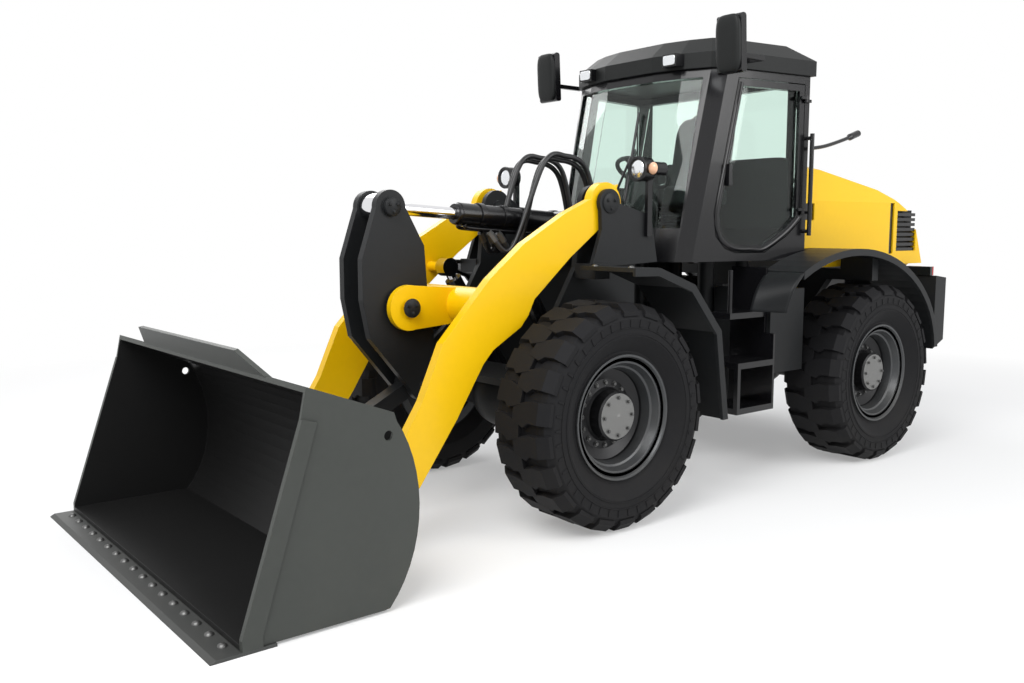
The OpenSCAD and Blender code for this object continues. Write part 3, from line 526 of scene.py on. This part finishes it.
LENS_DEPTH = 0.018
# Painted shade: a near-black colour inside the bucket, where shade falls.
paint_inside_shade(BUCKET_PAINT_AND_SHADE, colour=(0.009, 0.009, 0.009), half=1.2165, top=1.02)
dark_housing(RED, colour=(0.010, 0.011, 0.011), lens_end=box_of("tail_lamps")[0][0] + LENS_DEPTH)
wheel_tones(RIM, disc_colour=(0.010, 0.010, 0.011), disc_edge=0.262,
            cover_colour=(0.16, 0.16, 0.155), cover_edge=0.1305)

SLOT_FINISH = {"yellow_paint": YELLOW, "grey_paint": GREY, "black_paint": BLACK, "engine_metal": ENGINE,
               "edge_steel": EDGE_STEEL, "rod_chrome": CHROME, "glass": GLASS, "seat_fabric": FABRIC,
               "lamp_red": RED, "rim_silver": RIM, "tyre_rubber": RUBBER}
NODE_FINISH = {"bucket": BUCKET_PAINT_AND_SHADE, "cab_roof": ROOF}
for part in frame["record"]["subparts"]:
    node = frame["nodes"][part["node"]]
    node.data.materials.clear()
    node.data.materials.append(NODE_FINISH.get(part["node"], SLOT_FINISH[part["material_slot"]]))

# Wheels: ribs and rings on the sidewall, sunk in it by half, and nuts on the disc and on the hub's cover.
WALL_STEP = 0.004
RIB_COUNT, RIB_LOW, RIB_HIGH, RIB_HALF, RIB_TAPER = 44, 0.515, 0.553, 0.008, 0.6
RING_RADII, RING_FOOT, RING_TOP, RING_STEPS = (0.472, 0.508), 0.005, 0.002, 72
DISC_DEPTH, NUT_R, NUT_RING, NUT_COUNT = 0.153, 0.012, 0.180, 16
COVER_DEPTH, COVER_NUT_R, COVER_RING, COVER_COUNT = 0.041, 0.008, 0.108, 8


def sidewall_ring(wall, out, radius):
    """A low ridge round the sidewall: a trapezium turned round the wheel's axis."""
    foot, top = radius + RING_FOOT * np.array([-1, 1]), radius + RING_TOP * np.array([-1, 1])
    ridge = [(foot[0], 0), (top[0], 2 * WALL_STEP), (top[1], 2 * WALL_STEP), (foot[1], 0)]
    return flipped(turned_surface(ridge, wall, out, RING_STEPS))


for end, axle_x in (("front", FRONT_AXLE[0]), ("rear", REAR_AXLE[0])):
    for side, sign, outer in (("left", 1, 1), ("right", -1, 0)):
        out = sign * ACROSS
        rim_face = np.array([axle_x, box_of(f"rim_{end}_{side}")[outer][1], AXLE_Z])
        tyre_face = np.array([axle_x, box_of(f"tyre_{end}_{side}")[outer][1], AXLE_Z])
        disc_nuts = ring_points(rim_face - DISC_DEPTH * out, NUT_RING, NUT_COUNT)
        cover_nuts = ring_points(rim_face - COVER_DEPTH * out, COVER_RING, COVER_COUNT)
        nuts = together(repeated(bolt_surface(out, NUT_R), disc_nuts),
                        repeated(bolt_surface(out, COVER_NUT_R), cover_nuts))
        wall = tyre_face - WALL_STEP * out
        rib = plate_surface([[-RIB_HALF, 0, RIB_LOW], [RIB_HALF, 0, RIB_LOW],
                             [RIB_TAPER * RIB_HALF, 0, RIB_HIGH], [-RIB_TAPER * RIB_HALF, 0, RIB_HIGH]],
                            2 * WALL_STEP * out)
        ribs = together(spoked(rib, wall, RIB_COUNT), *(sidewall_ring(wall, out, r) for r in RING_RADII))
        piece(f"tyre_ribs_{end}_{side}", ribs, f"wheel_{end}_{side}", RUBBER)
        piece(f"wheel_nuts_{end}_{side}", nuts, f"wheel_{end}_{side}", ZINC, CRISP)

# Bucket: a row of bolt heads along the cutting edge.
EDGE_BOLT_COUNT, EDGE_BOLT_X, EDGE_BOLT_REACH, EDGE_BOLT_Z = 17, 2366, 1130, 14
edge_line = np.linspace(-EDGE_BOLT_REACH, EDGE_BOLT_REACH, EDGE_BOLT_COUNT)
edge_spots = spots([[EDGE_BOLT_X, y, EDGE_BOLT_Z] for y in edge_line])
edge_bolt = flipped(turned_surface([(0, 0.014), (0.010, 0.013), (0.019, 0.007), (0.022, 0)], ORIGIN, UP, 20))
piece("edge_bolts", repeated(edge_bolt, edge_spots), "bucket", ZINC)

# Pins: round end plates with bolts, on the boom, the bellcrank and the bucket.
PLATE_T, PLATE_RIM, PLATE_FACE = 0.012, 0.006, 0.86
PLATE_BOLT_R, PLATE_BOLT_RING, PLATE_BOLT_COUNT, PLATE_BOLT_TURN = 0.009, 0.55, 3, 0.5


def pin_plate(name, x, y, z, radius, body):
    """Two turned end plates, one on each side, each with three bolts."""
    centre = at(x, y, z)
    profile = [(0, PLATE_T), (radius * PLATE_FACE, PLATE_T), (radius, PLATE_RIM), (radius, 0)]
    plate = flipped(turned_surface(profile, centre, ACROSS))
    ring = ring_points(centre + PLATE_T * ACROSS, radius * PLATE_BOLT_RING, PLATE_BOLT_COUNT, PLATE_BOLT_TURN)
    bolts = repeated(bolt_surface(ACROSS, PLATE_BOLT_R), ring)
    piece(name, both_sides(together(plate, bolts)), body, GREY)


pin_plate("boom_pin_plates", -300, 636, 1850, 0.062, "front_frame")
pin_plate("bucket_pin_plates", 1300, 646, 270, 0.060, "bucket")
pin_plate("bellcrank_pin_plates", 840, 210, 1250, 0.055, "boom")
pin_plate("tilt_pin_plates", 920, 150, 1820, 0.052, "bellcrank")

# Lamps: lenses and bezels on the tower lamps, and lenses on the roof lamps.
LAMP_X, LAMP_Y, LAMP_Z = -520, 648, 2060
SIGNAL_BACK, SIGNAL_OUT = 30, 98
BEZEL = [(0.060, 0.002), (0.060, 0.012), (0.075, 0.012), (0.078, 0.004), (0.076, -0.01)]
LAMP_LENS = [(0, 0.016), (0.03, 0.013), (0.05, 0.007), (0.060, 0)]
SIGNAL_LENS = [(0, 0.022), (0.02, 0.018), (0.033, 0.008), (0.037, 0)]


def tower_lamp(profile, x, y):
    """A profile turned round a forward axis, on both sides of the machine."""
    return both_sides(flipped(turned_surface(profile, at(x, y, LAMP_Z), FORWARD)))


bezels = tower_lamp(BEZEL, LAMP_X, LAMP_Y)
lenses = tower_lamp(LAMP_LENS, LAMP_X, LAMP_Y)
signals = tower_lamp(SIGNAL_LENS, LAMP_X - SIGNAL_BACK, LAMP_Y + SIGNAL_OUT)
piece("lamp_bezels", bezels, "front_frame", BLACK)
piece("lamp_lenses", lenses, "front_frame", LENS)
piece("signal_lenses", signals, "front_frame", AMBER)
ROOF_LENS_PROUD, ROOF_LENS_EDGE = 0.001, 0.3
roof_low, roof_high = box_of("work_lamps")
lamp_mid = (roof_low[2] + roof_high[2]) / 2
front_spot = (roof_high[0] + ROOF_LENS_PROUD, 0.400, lamp_mid)
rear_spot = (roof_low[0] - ROOF_LENS_PROUD, 0.665, lamp_mid)
front_lens = pillow_surface(front_spot, (0.006, 0.050, 0.031), ROOF_LENS_EDGE)
rear_lens = pillow_surface(rear_spot, (0.006, 0.055, 0.031), ROOF_LENS_EDGE)
piece("roof_lamp_lenses", both_sides(together(front_lens, rear_lens)), "rear_frame", LENS)

# Mirrors: a glass on the leaning rear face of each housing, and a rounded shell over its front.
MIRROR_X, MIRROR_Y, MIRROR_Z = -1120, 860, 2837
MIRROR_SKIN, MIRROR_LEAN = 0.004, 20 / 355
glass_foot, glass_top = MIRROR_X - 33.5, MIRROR_X - 16.5
mirror_face = spots([[glass_foot, 780, 2685], [glass_top, 780, 2990],
                     [glass_top, 940, 2990], [glass_foot, 940, 2685]])
glasses = both_sides(plate_surface(mirror_face, -MIRROR_SKIN * FORWARD))
piece("mirror_glasses", glasses, "rear_frame", MIRROR)
shell = pillow_surface(at(MIRROR_X + 22, MIRROR_Y, MIRROR_Z), (0.034, 0.093, 0.175), 0.45)
shells = both_sides(leaned(shell, MIRROR_Z / MM, -MIRROR_LEAN))
piece("mirror_shells", shells, "rear_frame", ROOF, ROUND)

# Windscreen wiper, lying just in front of the flat middle pane.
SCREEN_X, SCREEN_LEAN, SCREEN_LOW, SCREEN_SET = -840, 0.2143, 1480, 16
WIPER_ARM_R, WIPER_BLADE_R, WIPER_STEPS = 0.009, 0.010, 24
WIPER_PIVOT, PIVOT_AXIS = [(0, 0.03), (0.022, 0.03), (0.026, 0.02), (0.026, -0.03)], (1, 0, 0.2)


def on_screen(y, z, stand):
    """A point in front of the windscreen, whose face falls back by a fixed share of the height."""
    return at(SCREEN_X - SCREEN_LEAN * (z - SCREEN_LOW) - SCREEN_SET + stand, y, z)


arm_path = smooth_path([on_screen(-20, 1660, 30), on_screen(20, 1760, 55), on_screen(120, 2080, 40),
                        on_screen(150, 2180, 30)], WIPER_STEPS)
blade_path = smooth_path([on_screen(150, z, 24) for z in (1880, 2180, 2480)], WIPER_STEPS)
pivot = flipped(turned_surface(WIPER_PIVOT, arm_path[0], PIVOT_AXIS, 24))
wiper = together(tube_surface(arm_path, WIPER_ARM_R, ACROSS),
                 tube_surface(blade_path, WIPER_BLADE_R, ACROSS), pivot)
piece("windscreen_wiper", wiper, "rear_frame", BLACK)

# Door: a round black edge along the front, the foot and the lower rear of the leaf, in the side wall's plane.
TAPER = np.radians(9)
CORNER_X, CORNER_Y = -2060.0, 800.0
DOOR_EDGE_R, DOOR_EDGE_SUNK, DOOR_EDGE_STEPS = 0.019, 6, 120
DOOR_LINE = [(-1428, 2655), (-1335, 2230), (-1241, 1802), (-1263, 1660), (-1335, 1592), (-1424, 1563),
             (-1550, 1560), (-1672, 1563), (-1868, 1670), (-1988, 1772), (-1990, 1790)]


def on_door(x, z, stand):
    """A point of the door: X and Z before the side wall is turned about the cab's rear corner, and how far
    outwards it stands."""
    along = x - CORNER_X
    return at(CORNER_X + along * np.cos(TAPER) + stand * np.sin(TAPER),
              CORNER_Y - along * np.sin(TAPER) + stand * np.cos(TAPER), z)


door_edge = smooth_path([on_door(x, z, -DOOR_EDGE_SUNK) for x, z in DOOR_LINE], DOOR_EDGE_STEPS)
piece("door_edge", tube_surface(door_edge, DOOR_EDGE_R, ACROSS), "door", BLACK)

# Rear fenders: a bulged apron from the skin's front end down to the upper step. Between a top line and a foot
# line it runs straight, plus a bulge times the sine of pi times the share of the way down.
APRON_ROWS, APRON_COLS, APRON_T = 17, 13, 0.012
APRON_BULGE = np.array([0.05, 0.02, 0.02])
down, over = np.meshgrid(np.linspace(0, 1, APRON_ROWS), np.linspace(0, 1, APRON_COLS), indexing="ij")
apron_top = between((-1610, 825, 1412), (-1610, 1118, 1412), over)
apron_foot = between((-1400, 845, 1152), (-1520, 1050, 1152), over)
apron = apron_top + (apron_foot - apron_top) * down[..., None] + np.sin(np.pi * down)[..., None] * APRON_BULGE
aprons = both_sides((apron.reshape(-1, 3), grid_quads(APRON_ROWS, APRON_COLS, False)))
apron_piece = piece("fender_aprons", aprons, "rear_frame", GREY, ROUND)
sheet = apron_piece.modifiers.new("sheet", "SOLIDIFY")
sheet.thickness = APRON_T
sheet.offset = 0

# Cab: a dark skirt between the mounts on each side, under the floor.
skirt = plate_surface(upright(325, -1995, -1555, 1300, 1478), -0.010 * ACROSS)
piece("cab_skirts", both_sides(skirt), "rear_frame", ROOF)

# Front fenders: bolt heads near the front edge.
fender_spots = spots([[-60, y, 1482] for y in (-1050, -760, 760, 1050)])
fender_bolt = flipped(turned_surface([(0, 0.012), (0.009, 0.011), (0.017, 0.005), (0.019, 0)], ORIGIN, UP, 20))
piece("fender_bolts", repeated(fender_bolt, fender_spots), "front_frame", ZINC)

# Hood: a dark plate behind each side grille.
grille_back = plate_surface(upright(655, -3770, -3470, 1512, 1848), -0.006 * ACROSS)
piece("grille_backs", both_sides(grille_back), "hood", ROOF)

# Hood: louvres over the opening at the top of its rear face, with a dark back.
LOUVRE_HALF, LOUVRE_DEPTH, LOUVRE_RISE, LOUVRE_T, LOUVRE_COUNT = 0.66, 0.030, 0.006, 0.007, 7
louvre = plate_surface([[0, -LOUVRE_HALF, 0], [0, LOUVRE_HALF, 0], [LOUVRE_DEPTH, LOUVRE_HALF, LOUVRE_RISE],
                        [LOUVRE_DEPTH, -LOUVRE_HALF, LOUVRE_RISE]], -LOUVRE_T * UP)
louvre_line = between((-3632, 0, 1832), (-3764, 0, 1706), np.linspace(0, 1, LOUVRE_COUNT))
back_corners = spots([[-3598, -660, 1832], [-3598, 660, 1832], [-3728, 660, 1700], [-3728, -660, 1700]])
louvre_back = plate_surface(back_corners, (0.004, 0, -0.004))
piece("hood_louvres", together(repeated(louvre, louvre_line), louvre_back), "hood", ROOF)

# Cab: a dark trim panel on the inside of the rear wall.
trim = pillow_surface(at(-1987, 0, 1950), (0.013, 0.70, 0.25), 0.12)
piece("cab_trim", trim, "rear_frame", ROOF, ROUND)

# Seat: cushion, backrest and headrest, rounded blocks over a bellows; cushion and backrest have two sewn
# channels.
PAD_ROWS, PAD_COLS = 33, 72
SEAMS = (-0.13, 0.13)
LEAN_BACK = 0.17
BELLOWS_R, BELLOWS_WAVE, BELLOWS_FOLDS, BELLOWS_H, BELLOWS_STEPS = 0.17, 0.012, 8, 0.32, 41
seat_low, seat_high = box_of("seat")
seat_x = (seat_low[0] + seat_high[0]) / 2
cushion_top = seat_low[2] + 0.46
cushion = pillow_surface((seat_x + 0.03, 0, cushion_top - 0.07), (0.25, 0.26, 0.075), 0.38, PAD_ROWS, PAD_COLS)
cushion = stitched(cushion, SEAMS, 0.016)
backrest = pillow_surface((seat_x - 0.14, 0, cushion_top + 0.26), (0.07, 0.25, 0.27), 0.42, PAD_ROWS, PAD_COLS)
backrest = leaned(stitched(backrest, SEAMS, 0.014), cushion_top, LEAN_BACK)
headrest = pillow_surface((seat_x - 0.145, 0, cushion_top + 0.47), (0.05, 0.13, 0.085), 0.5)
headrest = leaned(headrest, cushion_top, LEAN_BACK)
climb = np.linspace(0, 1, BELLOWS_STEPS)
folds = BELLOWS_R + BELLOWS_WAVE * np.cos(2 * np.pi * BELLOWS_FOLDS * climb)
bellows = np.stack([folds, seat_low[2] + climb * BELLOWS_H], -1)
bellows = np.vstack([[0, bellows[0, 1]], bellows, [0, bellows[-1, 1]]])
bellows = turned_surface(bellows, (seat_x + 0.02, 0, 0), UP)
base = piece("seat_bellows", bellows, "rear_frame", HOSE)
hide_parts("seat")
for name, pad, fill in (("seat_cushion", cushion, 0.8), ("seat_backrest", backrest, 0.8),
                        ("seat_headrest", headrest, 0.9)):
    piece(name, pad, "rear_frame", FABRIC, ROUND)

# Hydraulics: hose loops from the tower over to the tilt cylinder, with a fitting at each end.
BARREL_FOOT, BARREL_HEAD = at(-470, 0, 1735), at(920, 0, 1820)
BARREL_DIR = unit(BARREL_HEAD - BARREL_FOOT)
BARREL_UP = np.cross(BARREL_DIR, ACROSS) * -1
TILT_HOSE_R, FITTING_R, FITTING_STEPS = 0.017, 0.022, 5
TILT_HOSE_STEPS, TILT_HOSE_ROWS, PORT_Y = 72, (-140, -100, 100, 140), 40


def on_barrel(along, y, up):
    """A point of the tilt cylinder: millimetres along its axis from the base pin, across, and square to both."""
    return BARREL_FOOT + (BARREL_DIR * along + ACROSS * y + BARREL_UP * up) / MM


block = pillow_surface(at(-640, 0, 1726), (0.045, 0.20, 0.027), 0.12)
piece("hose_block", block, "front_frame", BLACK)
for index, y in enumerate(TILT_HOSE_ROWS):
    rise = 2110 + 25 * (index % 2)
    reach = 560 + 70 * (index % 2)
    line = smooth_path([at(-640, y, 1750), at(-645, y, 1850), at(-560, y, rise - 40), at(-390, y, rise + 25),
                        at(-200, y, rise - 30), on_barrel(reach - 140, y * 0.75, 190),
                        on_barrel(reach, PORT_Y * np.sign(y), 98)], TILT_HOSE_STEPS)
    hose = piece(f"tilt_hose_{index + 1}", tube_surface(line, TILT_HOSE_R, ACROSS), None, HOSE)
    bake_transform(hose)
    collar = tube_surface(line[:FITTING_STEPS], FITTING_R, ACROSS, 6)
    piece(f"tilt_hose_fitting_{index + 1}", collar, "front_frame", ZINC, CRISP)
    nozzle = tube_surface(line[-FITTING_STEPS:], FITTING_R, ACROSS, 6)
    piece(f"tilt_hose_nozzle_{index + 1}", nozzle, "tilt_pin", ZINC, CRISP)

# Tilt cylinder: two pipes along the barrel, three bands and the gland.
PIPE_R, PIPE_STEPS, PIPE_ROWS = 0.012, 40, (-38, 38)
PIPE_LINE = ((300, 84), (560, 84), (640, 84), (790, 80), (810, 60))
BAND, BAND_SPOTS = [(0.0705, -0.02), (0.078, -0.02), (0.078, 0.02), (0.0705, 0.02)], (330, 500, 680)
GLAND, GLAND_SPOT = [(0.0385, 0.0), (0.0385, 0.03), (0.060, 0.03), (0.066, 0.018), (0.066, 0.0)], 840
pipe_paths = [smooth_path([on_barrel(along, y, up) for along, up in PIPE_LINE], PIPE_STEPS) for y in PIPE_ROWS]
pipes = together(*(tube_surface(path, PIPE_R, ACROSS) for path in pipe_paths))
bands = together(*(turned_surface(BAND, on_barrel(along, 0, 0), BARREL_DIR) for along in BAND_SPOTS))
gland = turned_surface(GLAND, on_barrel(GLAND_SPOT, 0, 0), BARREL_DIR)
piece("tilt_pipes", pipes, "tilt_barrel", BLACK)
piece("tilt_bands", bands, "tilt_barrel", BLACK)
piece("tilt_gland", gland, "tilt_barrel", BLACK)

# Hoses across the articulation, from the rear frame over to the front frame.
JOINT_HOSE_R, JOINT_HOSE_STEPS, JOINT_HOSE_ROWS = 0.015, 60, (-70, -25, 25, 70)
for index, y in enumerate(JOINT_HOSE_ROWS):
    sag = 800 + 12 * (index % 2)
    line = smooth_path([at(-1720, y, 860), at(-1600, y, 890), at(-1330, y * 1.2, sag), at(-1050, y, 880),
                        at(-640, y, 860)], JOINT_HOSE_STEPS)
    hose = piece(f"joint_hose_{index + 1}", tube_surface(line, JOINT_HOSE_R, UP), None, HOSE)
    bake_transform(hose)

# Rear of the cab: a stay with a thicker end, on the left handrail.
STAY_STEPS, STAY_GRIP, STAY_R, STAY_GRIP_R = 30, 22, 0.013, 0.024
stay_spots = spots([[-2042, 845, 2250], [-2200, 850, 2275], [-2420, 850, 2330], [-2600, 850, 2385]])
stay = smooth_path(stay_spots, STAY_STEPS)
stay_r = np.where(np.arange(STAY_STEPS) > STAY_GRIP, STAY_GRIP_R, STAY_R)
piece("rear_stay", tube_surface(stay, stay_r, ACROSS), "rear_frame", BLACK)

# Floor and backdrop.
FLOOR_HALF, FLOOR_NEAR, FLOOR_FAR, FLOOR_LIFT = 40.0, 3.6, 8.5, 0.3
BACKDROP, AMBIENT = (1.0, 1.0, 1.0), (0.42, 0.43, 0.45)


def backdrop_rays(tree):
    """One for a ray from the camera, from a glossy surface or through glass, and nought for any other."""
    path = tree.nodes.new("ShaderNodeLightPath")
    plain = math_node(tree, "MAXIMUM", path.outputs["Is Camera Ray"], path.outputs["Is Glossy Ray"])
    return math_node(tree, "MAXIMUM", plain, path.outputs["Is Transmission Ray"])


def floor_finish():
    """Pale floor paint, lifted a little, that fades into the bright backdrop with distance from the machine."""
    material = finish("floor_paint", (0.90, 0.90, 0.895), 0.9, share=0.0, edge=0)
    tree = material.node_tree
    away = vector_node(tree, "LENGTH", object_place(tree)).outputs["Value"]
    ramp = ramp_node(tree, away, FLOOR_NEAR, FLOOR_FAR)
    fade = math_node(tree, "MULTIPLY", math_node(tree, "MAXIMUM", ramp, FLOOR_LIFT), backdrop_rays(tree))
    glow = tree.nodes.new("ShaderNodeEmission")
    glow.inputs["Color"].default_value = (*BACKDROP, 1)
    blend = tree.nodes.new("ShaderNodeMixShader")
    tree.links.new(fade, blend.inputs["Fac"])
    tree.links.new(tree.nodes["Principled BSDF"].outputs["BSDF"], blend.inputs[1])
    tree.links.new(glow.outputs["Emission"], blend.inputs[2])
    tree.links.new(blend.outputs["Shader"], tree.nodes["Material Output"].inputs["Surface"])
    return material


floor_points = np.array([[-1, -1, 0], [1, -1, 0], [1, 1, 0], [-1, 1, 0]]) * FLOOR_HALF
floor = piece("floor", (floor_points, np.array([[0, 1, 2, 3]])), None, floor_finish())

world = bpy.data.worlds.new("studio")
bpy.context.scene.world = world
world.use_nodes = True
sky = world.node_tree.nodes["Background"]
sky_colour = mix_node(world.node_tree, backdrop_rays(world.node_tree), AMBIENT, BACKDROP)
world.node_tree.links.new(sky_colour, sky.inputs["Color"])
sky.inputs["Strength"].default_value = 1.0

# Light and camera.
LAMP_SIZE = 6.0


def soft_light(name, place, aim, power):
    """A square lamp that looks at a point."""
    lamp = bpy.data.lights.new(name, "AREA")
    lamp.size = LAMP_SIZE
    lamp.energy = power
    holder = bpy.data.objects.new(name, lamp)
    bpy.context.collection.objects.link(holder)
    holder.location = place
    holder.rotation_euler = (Vector(aim) - Vector(place)).to_track_quat("-Z", "Y").to_euler()


soft_light("key_light", (6.5, 3.0, 7.5), (0.5, 0, 1.2), 760)
soft_light("side_light", (-3.0, 8.5, 5.5), (-0.5, 0, 1.2), 480)
soft_light("far_light", (-1.0, -7.0, 6.5), (0, 0, 1.4), 340)

PHOTO_W, FOCAL_PX, SENSOR = 1024, 946.7, 36.0
CAMERA_PLACE = (4.4845, 4.725, 1.695)
CAMERA_TURN = math.radians(51.1)
CAMERA_DIP = math.radians(6.77)

camera_data = bpy.data.cameras.new("photo_camera")
camera_data.sensor_width = SENSOR
camera_data.lens = FOCAL_PX / PHOTO_W * SENSOR
camera = bpy.data.objects.new("photo_camera", camera_data)
bpy.context.collection.objects.link(camera)
camera.location = CAMERA_PLACE
camera.rotation_euler = (math.pi / 2 - CAMERA_DIP, 0, math.pi / 2 + CAMERA_TURN)
bpy.context.scene.camera = camera
bpy.context.scene.view_settings.view_transform = "Standard"
